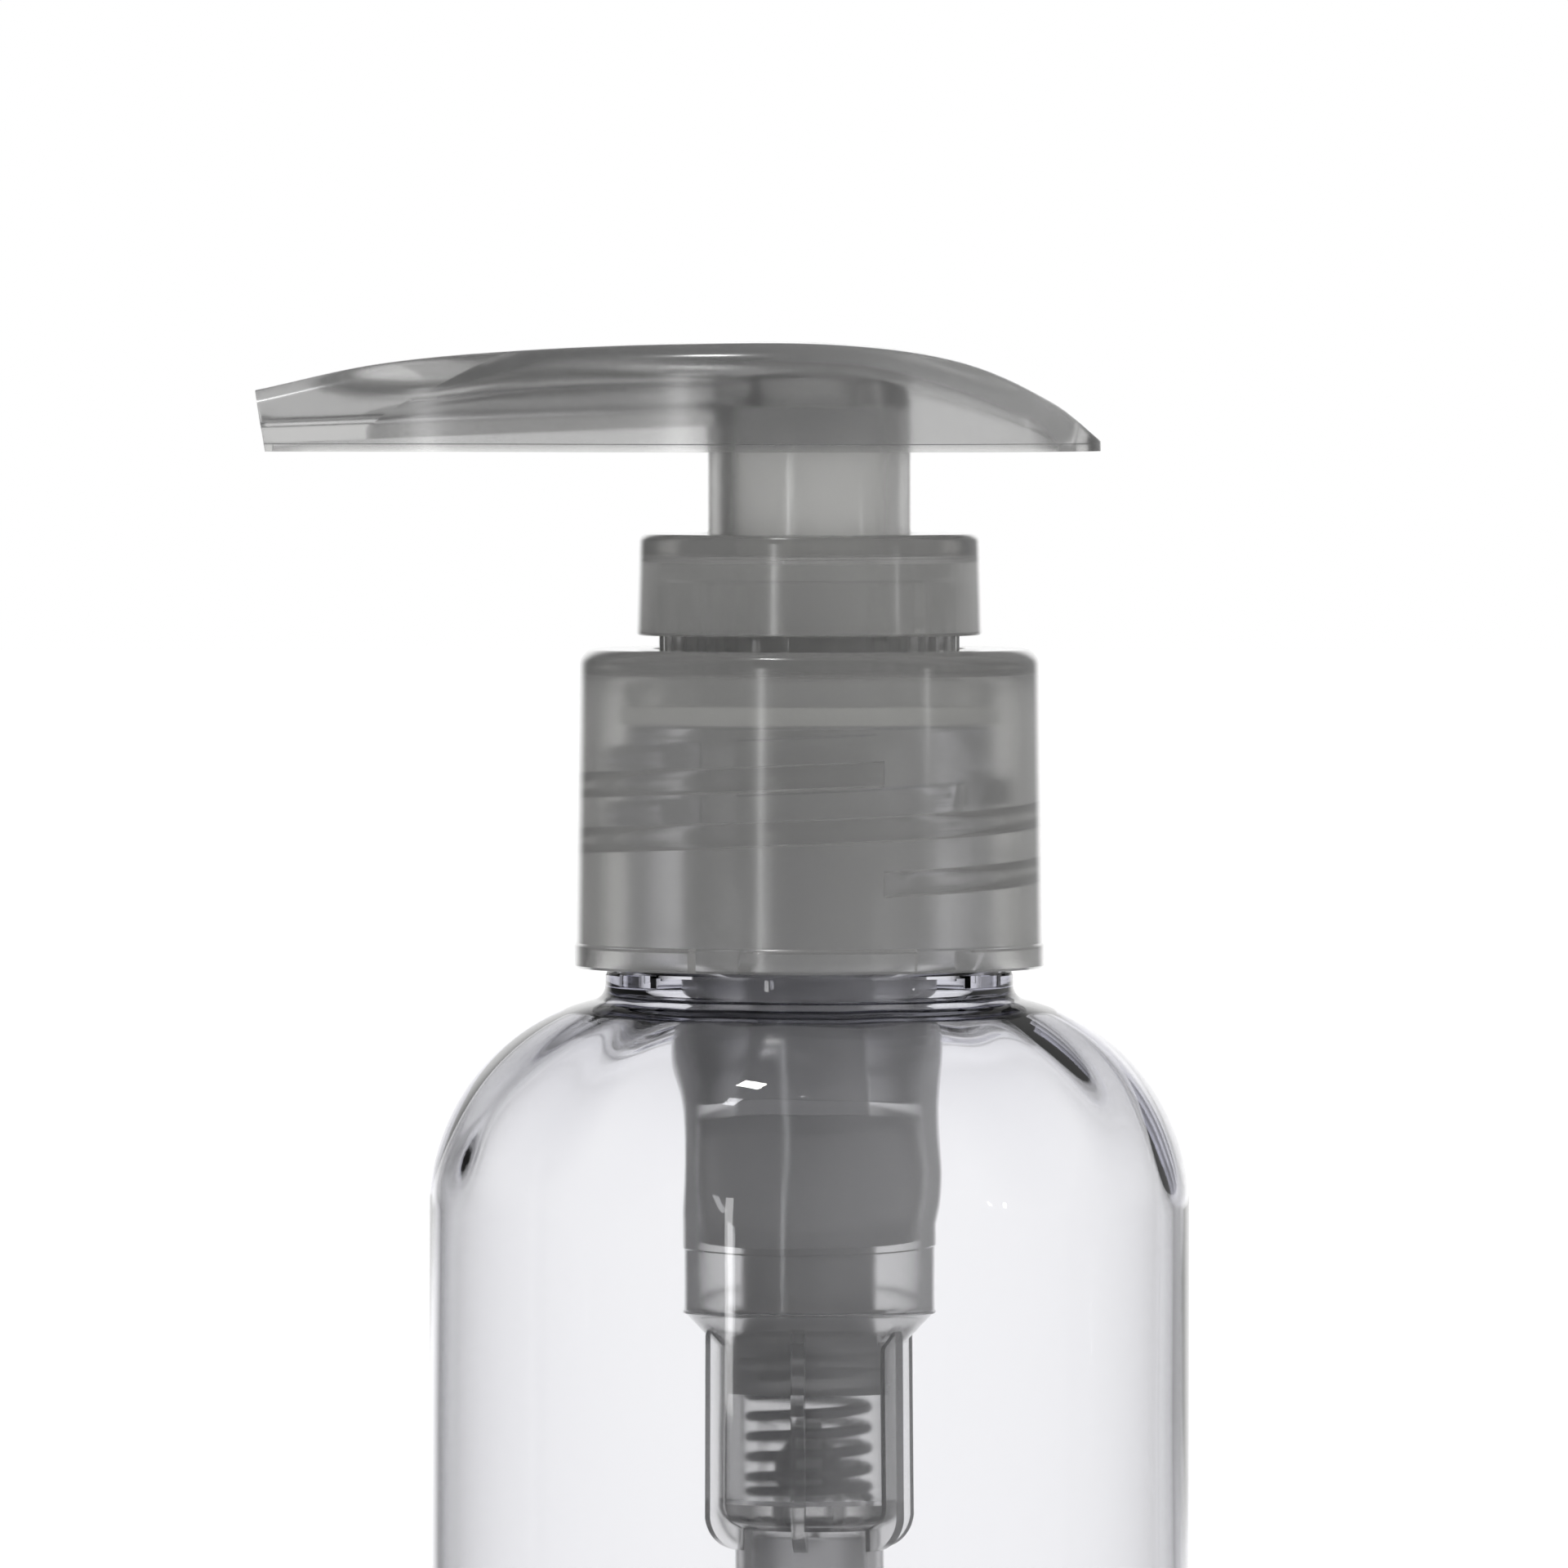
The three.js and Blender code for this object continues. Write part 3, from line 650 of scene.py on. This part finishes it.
def housing():
    flange_r, low, ring_top = extent("housing")
    flange_under = FLANGE_TOP - FLANGE_H
    funnel_end = FUNNEL_Z - (LOWER_TUBE_R - BARREL_R)
    bore_end = FUNNEL_Z + BORE_LEAD - (TUBE_BORE - BARREL_BORE)
    corner = BARREL_R - SOCKET_R
    outline = [
        (SOCKET_BORE, low + 0.2),
        (SOCKET_BORE + 0.25, low),
        (SOCKET_R - 0.15, low),
        (SOCKET_R, low + 0.15),
        (SOCKET_R, BARREL_BOTTOM - 0.2),
        *arc(SOCKET_R + 0.02, BARREL_BOTTOM + corner, corner, -75, 0, 8),
        (BARREL_R, funnel_end - 0.3),
        (BARREL_R + 0.1, funnel_end),
        (LOWER_TUBE_R - 0.2, FUNNEL_Z - 0.2),
        (LOWER_TUBE_R + 0.07, FUNNEL_Z - 0.06),
        (LOWER_TUBE_R + 0.07, FUNNEL_Z + 0.04),
        (LOWER_TUBE_R, FUNNEL_Z + 0.12),
        (LOWER_TUBE_R, STEP_Z - 0.05),
        (TUBE_R, STEP_Z + 0.05),
        (TUBE_R, flange_under - 0.3),
        (TUBE_R + 0.25, flange_under),
        (flange_r, flange_under),
        (flange_r, FLANGE_TOP),
        (RING_R, FLANGE_TOP),
        (RING_R, ring_top - 0.2),
        (RING_R - 0.2, ring_top),
        (TUBE_BORE + 0.1, ring_top),
        (TUBE_BORE, ring_top - 0.1),
        (TUBE_BORE, FUNNEL_Z + BORE_LEAD + 0.3),
        (TUBE_BORE - 0.15, FUNNEL_Z + BORE_LEAD - 0.1),
        (BARREL_BORE + 0.1, bore_end),
        (BARREL_BORE, bore_end - 0.3),
        (BARREL_BORE, SEAT_FLOOR + 0.3),
        (BARREL_BORE - 0.3, SEAT_FLOOR),
        (SEAT_R, SEAT_FLOOR),
        (SEAT_R, SEAT_TOP - 0.05),
        (SEAT_R - 0.05, SEAT_TOP),
        (INLET_R + 0.05, SEAT_TOP),
        (INLET_R, SEAT_TOP - 0.05),
        (INLET_R, BARREL_BOTTOM),
        (SOCKET_BORE, BARREL_BOTTOM),
    ]

    def shape(r, z, degrees):
        flute = FLUTE_DEPTH if degrees % FLUTE_PITCH < FLUTE_PITCH / 2 else 0
        return (r - flute, z) if abs(r - RING_R) < 1e-6 else (r, z)

    shell = revolve("housing_fine", outline, 144, shape)
    extras = [rib(i) for i in range(RIBS)] + [finger(i) for i in range(FINGERS)]
    combine(shell, extras, "UNION")
    return place(shell, "housing", CYLINDER)


def housing_gasket():
    gasket_r, low, top = extent("housing_gasket")
    obj = pipe("housing_gasket_fine", gasket_r, GASKET_BORE, low, top, 128, 0.2)
    return place(obj, "housing_gasket", FOAM)


def stem_guide():
    flange_r, low, top = extent("stem_guide")
    flange_under = top - GUIDE_FLANGE_H
    outline = [
        (GUIDE_BORE, low),
        (GUIDE_R, low),
        (GUIDE_R, flange_under),
        (flange_r, flange_under),
        (flange_r, top),
        (GUIDE_BORE, top),
    ]
    obj = revolve("stem_guide_fine", rounded(outline, 0.15), 128)
    return place(obj, "stem_guide", CYLINDER)


# ---- Head ------------------------------------------------------------------------------------

HEAD_HALF_WIDTH = 8.6
SPOUT_HALF_WIDTH = 3.3
SPOUT_LENGTH = 29
HEAD_TOP_LINE = [
    (-32, 129.3),
    (-25, 130.8),
    (-16.7, 131.6),
    (-6.7, 132),
    (2.2, 131.9),
    (9, 130.85),
    (14.2, 128.5),
    (16.9, 126.3),
]
HEAD_RIM = 125.76  # lower edge
HEAD_DISH = 0.5  # depth of the thumb rest in the top
HEAD_WALL = 1.2
CAVITY_NOSE_X = 14.6
CAVITY_SPOUT_X = -31
CAVITY_TOP_LINE = [
    (-31, 127),
    (-29.5, 127.5),
    (-25.4, 128.8),
    (-20, 130.2),
    (-14.5, 131),
    (-6, 131.2),
    (2.5, 131),
    (8, 130),
    (13.2, 128),
    (14.6, 127),
]
CHANNEL_TIP = Vector((-32, 0, 128))
CHANNEL_ROOT = Vector((0, 0, 129.5))
CHANNEL_TIP_R = 0.95
CHANNEL_ROOT_R = 1.25
KEEL_HALF_WIDTH = 2.3
KEEL_WALL = 0.8
HEAD_LIP = 0.1
TIP_SLANT = 0.6
SLEEVE_R = 5.9
SLEEVE_BORE = 4.45
STEM_HEAD_BORE = 2.85
ROOF_INSIDE = 130.7  # how high the sleeve reaches into the roof


def height_at(line, x):
    """A height read at x from a smooth line through a few (x, z) points."""
    last = len(line) - 1

    def slope(i):
        x0, z0 = line[max(i - 1, 0)]
        x1, z1 = line[min(i + 1, last)]
        return (z1 - z0) / (x1 - x0)

    i = 0
    while i < last - 1 and x > line[i + 1][0]:
        i += 1
    (xa, za), (xb, zb) = line[i], line[i + 1]
    span = xb - xa
    t = min(1, max(0, (x - xa) / span))
    ease = t * t * (3 - 2 * t)
    leave = t * (1 - t) ** 2 * span * slope(i)
    arrive = t * t * (t - 1) * span * slope(i + 1)
    return za + (zb - za) * ease + leave + arrive


def head_half_width(x, nose):
    if x > 0:
        return HEAD_HALF_WIDTH * math.sqrt(max(0, 1 - (x / nose) ** 2))
    t = min(1, -x / SPOUT_LENGTH)
    extra = HEAD_HALF_WIDTH - SPOUT_HALF_WIDTH
    return SPOUT_HALF_WIDTH + extra * (1 + math.cos(math.pi * t)) / 2


def head_section(x, half_width, low, high, dish=0.0, lip=0.0, slant=0.0):
    """A section across the head with rounded upper corners, its top dished in the middle.

    The lip stands proud along the lower edge. The slant draws the lower edge back along +X.
    """
    band = min(0.42, 0.5 * (high - low))
    side = half_width - lip
    corner = min(1.8, 0.8 * (high - low - band), 0.8 * side)
    right = [(side, low + band + 0.05)] + arc(side - corner, high - corner, corner, 0, 90, 9)
    flat = side - corner
    top = []
    for i in range(1, 8):
        y = flat * (1 - 2 * i / 8)
        top.append((y, high - dish * math.cos(math.pi / 2 * y / flat) ** 2))
    left = [(-y, z) for y, z in reversed(right)]
    outline = [(-half_width, low), (half_width, low), (half_width, low + band), *right, *top,
               *left, (-half_width, low + band)]
    return [(x + slant * (high - z) / (high - low), y, z) for y, z in outline]


def head_stations(spout_end, nose_end, spout_steps=56, nose_steps=28):
    stations = [spout_end * (1 - i / spout_steps) for i in range(spout_steps)]
    for i in range(nose_steps + 1):
        stations.append(nose_end * math.sin(math.pi / 2 * i / nose_steps))
    return stations


def actuator_head():
    low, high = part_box("actuator_head")
    spout_x, nose_x = low.x / MM, high.x / MM
    nose = nose_x + 0.05

    def dish(x):
        return HEAD_DISH * math.exp(-((x / 6.5) ** 2))

    def slant(x):
        return TIP_SLANT * max(0, 1 - (x - spout_x) / 6)

    outer = loft("actuator_head_fine", [
        head_section(x, head_half_width(x, nose), HEAD_RIM, height_at(HEAD_TOP_LINE, x), dish(x),
                     HEAD_LIP, slant(x))
        for x in head_stations(spout_x, nose_x)
    ])

    def cavity_half(x):
        if x < 0:
            return head_half_width(x, nose) - HEAD_WALL
        wide = HEAD_HALF_WIDTH - HEAD_WALL
        return wide * math.sqrt(1 - (x / (CAVITY_NOSE_X + 0.1)) ** 2)

    cavity = loft("cavity", [
        head_section(x, cavity_half(x), HEAD_RIM - 1, height_at(CAVITY_TOP_LINE, x), dish(x))
        for x in head_stations(CAVITY_SPOUT_X, CAVITY_NOSE_X, 30, 20)
    ])
    combine(outer, [cavity], "DIFFERENCE")

    keel_end = CAVITY_SPOUT_X - 0.3
    keel = plate("keel", [
        (keel_end, CHANNEL_TIP.z - CHANNEL_TIP_R - KEEL_WALL),
        (CHANNEL_ROOT.x, CHANNEL_ROOT.z - CHANNEL_ROOT_R - KEEL_WALL),
        (CHANNEL_ROOT.x, 131.3),
        (-14, 131.2),
        (keel_end, 128.9),
    ], 2 * KEEL_HALF_WIDTH)
    sleeve_low = low.z / MM
    stem_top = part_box("stem")[1].z / MM
    sleeve = pipe("sleeve", SLEEVE_R, SLEEVE_BORE, sleeve_low, ROOF_INSIDE, 96)
    boss = revolve("boss", [
        (0, stem_top - 0.3), (SLEEVE_R - 0.1, stem_top - 0.3),
        (SLEEVE_R - 0.1, ROOF_INSIDE), (0, ROOF_INSIDE),
    ], 96)
    combine(outer, [keel, sleeve, boss], "UNION")

    stem_hole = revolve("stem_hole", [
        (0, sleeve_low - 1), (SLEEVE_BORE, sleeve_low - 1),
        (SLEEVE_BORE, stem_top + 0.1), (0, stem_top + 0.1),
    ], 96)
    bore_top = CHANNEL_ROOT.z + CHANNEL_ROOT_R
    cross_bore = revolve("cross_bore", [
        (0, stem_top), (STEM_HEAD_BORE, stem_top), (STEM_HEAD_BORE, bore_top - 0.3),
        (STEM_HEAD_BORE - 0.3, bore_top), (0, bore_top),
    ], 64)
    axis = CHANNEL_TIP - CHANNEL_ROOT
    reach = axis.length
    over = 1 + 1 / reach
    channel = revolve("channel", [
        (0, 0), (CHANNEL_ROOT_R, 0),
        (CHANNEL_ROOT_R + (CHANNEL_TIP_R - CHANNEL_ROOT_R) * over, reach * over), (0, reach * over),
    ], 48)
    channel.data.transform(axis.to_track_quat("Z", "Y").to_matrix().to_4x4())
    for vertex in channel.data.vertices:
        vertex.co += CHANNEL_ROOT * MM
    combine(outer, [stem_hole, cross_bore, channel], "DIFFERENCE", 30)
    return place(outer, "actuator_head", HEAD)


# ---- Plunger ---------------------------------------------------------------------------------

STEM_STEP = 100  # the stem is wider above this
STEM_R = 3.8
STEM_BORE = 1.3
STEM_SHOULDER = 81.2
WINDOW_R = 0.6
SPIGOT_R = 3.0
PISTON_BORE = 3.9
FOOT_NECK_R = 3.95
FOOT_SHOULDER = 75
SPRING_R = 3.4  # to the middle of the wire
WIRE_R = 0.3
SPRING_COILS = 8.5
DEAD_COILS = 1.25  # closed coils at each end
DIP_BORE = 2.45
DIP_CUT = 3.0  # height of the slanted cut at the lower end


def window(degrees):
    """A bar across the stem that cuts two of its four side windows."""
    reach = 1.5 * STEM_R
    bar = revolve("window", [(0, -reach), (WINDOW_R, -reach), (WINDOW_R, reach), (0, reach)], 32)
    turn = Matrix.Rotation(math.radians(degrees), 4, "Z") @ Matrix.Rotation(math.pi / 2, 4, "X")
    lift = Matrix.Translation((0, 0, (STEM_SHOULDER + WINDOW_R + 0.1) * MM))
    bar.data.transform(lift @ turn)
    return bar


def stem():
    head_r, low, top = extent("stem")
    taper = 2 * (head_r - STEM_R)
    outline = [
        (STEM_BORE, low),
        (SPIGOT_R, low),
        (SPIGOT_R, STEM_SHOULDER),
        (STEM_R, STEM_SHOULDER),
        (STEM_R, STEM_STEP),
        (head_r, STEM_STEP + taper),
        (head_r, top),
        (STEM_HEAD_BORE, top),
        (STEM_HEAD_BORE, STEM_STEP + taper),
        (STEM_BORE, STEM_STEP),
    ]
    obj = revolve("stem_fine", rounded(outline, 0.06), 96)
    combine(obj, [window(0), window(90)], "DIFFERENCE")
    return place(obj, "stem", STEM)


def piston():
    piston_r, low, top = extent("piston")
    lip = 0.45
    web = 1.1
    ring_r = piston_r - 0.15
    cone = 0.6
    outline = [
        (PISTON_BORE, low + cone + 0.6),
        (PISTON_BORE + cone, low + 0.4),
        (ring_r - 1.1, low + web),
        (piston_r - lip, low),
        (piston_r, low),
        (ring_r, low + web),
        (ring_r, top - web),
        (piston_r, top),
        (piston_r - lip, top),
        (ring_r - 1.1, top - web),
        (PISTON_BORE + 0.7, top - 1),
        (PISTON_BORE, top - 0.6),
    ]
    obj = revolve("piston_fine", rounded(outline, 0.1), 128)
    return place(obj, "piston", PISTON)


def piston_foot():
    skirt_r, low, rim = extent("piston_foot")
    spring_room = SPRING_R + WIRE_R + 0.1
    spring_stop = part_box("return_spring")[1].z / MM + 0.05
    stem_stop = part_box("stem")[0].z / MM - 0.1
    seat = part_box("piston")[0].z / MM
    outline = [
        (0, spring_stop),
        (spring_room, spring_stop),
        (spring_room, low),
        (skirt_r, low),
        (skirt_r, FOOT_SHOULDER),
        (FOOT_NECK_R, FOOT_SHOULDER + 0.5),
        (FOOT_NECK_R, seat),
        (FOOT_NECK_R + 0.45, seat + 0.4),
        (FOOT_NECK_R + 0.1, rim),
        (SPIGOT_R + 0.05, rim),
        (SPIGOT_R + 0.05, stem_stop),
        (0, stem_stop),
    ]
    obj = revolve("piston_foot_fine", rounded(outline, 0.08), 128)
    return place(obj, "piston_foot", FOOT)


def return_spring():
    low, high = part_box("return_spring")
    bottom = low.z / MM + WIRE_R
    top = high.z / MM - WIRE_R
    dead_rise = DEAD_COILS * 2.25 * WIRE_R
    steps = int(SPRING_COILS * 40)
    sides = 12
    rings = []
    for i in range(steps + 1):
        coil = SPRING_COILS * i / steps
        a = 2 * math.pi * coil
        if coil < DEAD_COILS:
            z = bottom + dead_rise * coil / DEAD_COILS
        elif coil > SPRING_COILS - DEAD_COILS:
            z = top - dead_rise * (SPRING_COILS - coil) / DEAD_COILS
        else:
            t = (coil - DEAD_COILS) / (SPRING_COILS - 2 * DEAD_COILS)
            z = bottom + dead_rise + t * (top - bottom - 2 * dead_rise)
        ring = []
        for k in range(sides):
            b = -2 * math.pi * k / sides
            r = SPRING_R + WIRE_R * math.cos(b)
            ring.append((r * math.cos(a), r * math.sin(a), z + WIRE_R * math.sin(b)))
        rings.append(ring)
    obj = loft("return_spring_fine", rings, 60)
    place(obj, "return_spring", WIRE_STEEL)
    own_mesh(obj)
    return obj


def inlet_ball():
    ball_r, low, high = extent("inlet_ball")
    centre = (low + high) / 2
    outline = arc(0, centre, ball_r, -90, 90, 24)
    outline[0] = (0, low)
    outline[-1] = (0, high)
    obj = revolve("inlet_ball_fine", outline, 48, sharp=80)
    return place(obj, "inlet_ball", BALL_STEEL)


def dip_tube():
    tube_r, low, top = extent("dip_tube")
    outline = [
        (DIP_BORE, low),
        (tube_r, low),
        (tube_r, top - 0.1),
        (tube_r - 0.1, top),
        (DIP_BORE + 0.1, top),
        (DIP_BORE, top - 0.1),
    ]

    def shape(r, z, degrees):
        if z > low + 0.01:
            return r, z
        share = (r * math.cos(math.radians(degrees)) / tube_r + 1) / 2
        return r, low + DIP_CUT * share

    obj = revolve("dip_tube_fine", outline, 96, shape)
    return place(obj, "dip_tube", TUBE)


# ---- Floor, light and camera -----------------------------------------------------------------


def floor():
    size = 6000  # half its side
    obj = make("studio_floor", [
        (-size, -size, 0), (size, -size, 0), (size, size, 0), (-size, size, 0),
    ], [[0, 1, 2, 3]])
    material, nodes, _ = new_material("studio_floor")
    shader = nodes["Principled BSDF"]
    shader.inputs["Base Color"].default_value = (0.12, 0.12, 0.12, 1)
    shader.inputs["Roughness"].default_value = 1
    shader.inputs["Specular IOR Level"].default_value = 0
    shader.inputs["Emission Color"].default_value = (1, 1, 1, 1)
    shader.inputs["Emission Strength"].default_value = 0.95
    obj.data.materials.append(material)
    obj.visible_diffuse = False
    obj.visible_glossy = False
    obj.visible_transmission = False


SCREEN_LEVEL = 1.18  # the bright screen behind the object
SCREEN_SIDES = (0.86, 0.96)  # where the screen starts and is full, as a share of straight behind
SCREEN_TOP = (0.45, 0.22)  # where it ends and is full, as the sine of the height
ROOM_LEVELS = (0.08, 0.4)  # the dark left of the room and its lighter right
ROOM_SPAN = (-0.2, 0.6)
SCATTER_LEVEL = 1.5  # what reaches the inside of milky plastic


def world():
    """A screen in a dim room. The camera sees white past the object, as on a cut-out picture."""
    studio = bpy.data.worlds.new("studio")
    bpy.context.scene.world = studio
    studio.use_nodes = True
    nodes, links = studio.node_tree.nodes, studio.node_tree.links
    background = nodes["Background"]

    def math_node(operation, a, b=None, clamp=False):
        node = nodes.new("ShaderNodeMath")
        node.operation = operation
        node.use_clamp = clamp
        for socket, value in zip(node.inputs, (a, b)):
            if value is None:
                continue
            if isinstance(value, (int, float)):
                socket.default_value = value
            else:
                links.new(value, socket)
        return node.outputs[0]

    place_node = nodes.new("ShaderNodeTexCoord")
    split = nodes.new("ShaderNodeSeparateXYZ")
    links.new(place_node.outputs["Generated"], split.inputs[0])

    def ramp(value, dark, light):
        """0 below the dark value, 1 above the light one."""
        shifted = math_node("SUBTRACT", value, dark)
        return math_node("DIVIDE", shifted, light - dark, True)

    def blend(low, high, share):
        return math_node("ADD", low, math_node("MULTIPLY", share, high - low))

    up = split.outputs["Z"]
    flat = math_node("SQRT", math_node("SUBTRACT", 1.0, math_node("MULTIPLY", up, up)))
    flat = math_node("MAXIMUM", flat, 0.01)
    behind = math_node("DIVIDE", split.outputs["Y"], flat)
    screen = math_node("MULTIPLY", ramp(behind, *SCREEN_SIDES), ramp(up, *SCREEN_TOP))
    screen = math_node("MULTIPLY", screen, SCREEN_LEVEL)
    room = blend(*ROOM_LEVELS, ramp(split.outputs["X"], *ROOM_SPAN))
    lit = math_node("MAXIMUM", screen, room)
    path = nodes.new("ShaderNodeLightPath")
    scattered = math_node("MINIMUM", path.outputs["Diffuse Depth"], 1.0)
    for share, value in ((scattered, SCATTER_LEVEL), (path.outputs["Is Camera Ray"], 1)):
        keep = math_node("MULTIPLY", lit, math_node("SUBTRACT", 1.0, share))
        lit = math_node("ADD", keep, math_node("MULTIPLY", share, value))
    background.inputs["Color"].default_value = (1, 1, 1, 1)
    links.new(lit, background.inputs["Strength"])


def area_light(name, azimuth, elevation, distance, width, height, power):
    """A panel light that faces the object, its azimuth counted from the front towards +X."""
    aim = Vector((0, 0, 0.1))
    a, e = math.radians(azimuth), math.radians(elevation)
    away = Vector((math.sin(a) * math.cos(e), -math.cos(a) * math.cos(e), math.sin(e)))
    data = bpy.data.lights.new(name, "AREA")
    data.shape = "RECTANGLE"
    data.size = width
    data.size_y = height
    data.energy = power
    obj = bpy.data.objects.new(name, data)
    obj.location = aim + away * distance
    obj.rotation_euler = (-away).to_track_quat("-Z", "Y").to_euler()
    bpy.context.scene.collection.objects.link(obj)
    obj.visible_camera = False
    return obj


def camera():
    distance = 1.312
    target = Vector((-0.00146, 0, 0.1065))
    rise = 0.0327
    data = bpy.data.cameras.new("camera")
    data.lens = 521
    data.sensor_width = 36
    data.clip_start = 0.05
    data.clip_end = 50
    obj = bpy.data.objects.new("camera", data)
    obj.location = target + Vector((0, -distance, rise))
    obj.rotation_euler = (target - obj.location).to_track_quat("-Z", "Y").to_euler()
    bpy.context.scene.collection.objects.link(obj)
    bpy.context.scene.camera = obj


def look():
    scene = bpy.context.scene
    scene.view_settings.view_transform = "Standard"
    scene.cycles.max_bounces = 40
    scene.cycles.transmission_bounces = 40
    scene.cycles.transparent_max_bounces = 16
    scene.cycles.glossy_bounces = 8
    scene.cycles.caustics_refractive = True


bottle()
closure()
lock_collar()
housing()
housing_gasket()
stem_guide()
actuator_head()
stem()
piston()
piston_foot()
return_spring()
inlet_ball()
dip_tube()

floor()
world()
area_light("strip_front", -24, 2.8, 1.2, 0.05, 0.3, 0.26)
area_light("strip_side", 61, 4, 1.2, 0.025, 0.05, 0.04)
area_light("lamp_above", -44, 72, 1.2, 0.12, 0.08, 1)
camera()
look()
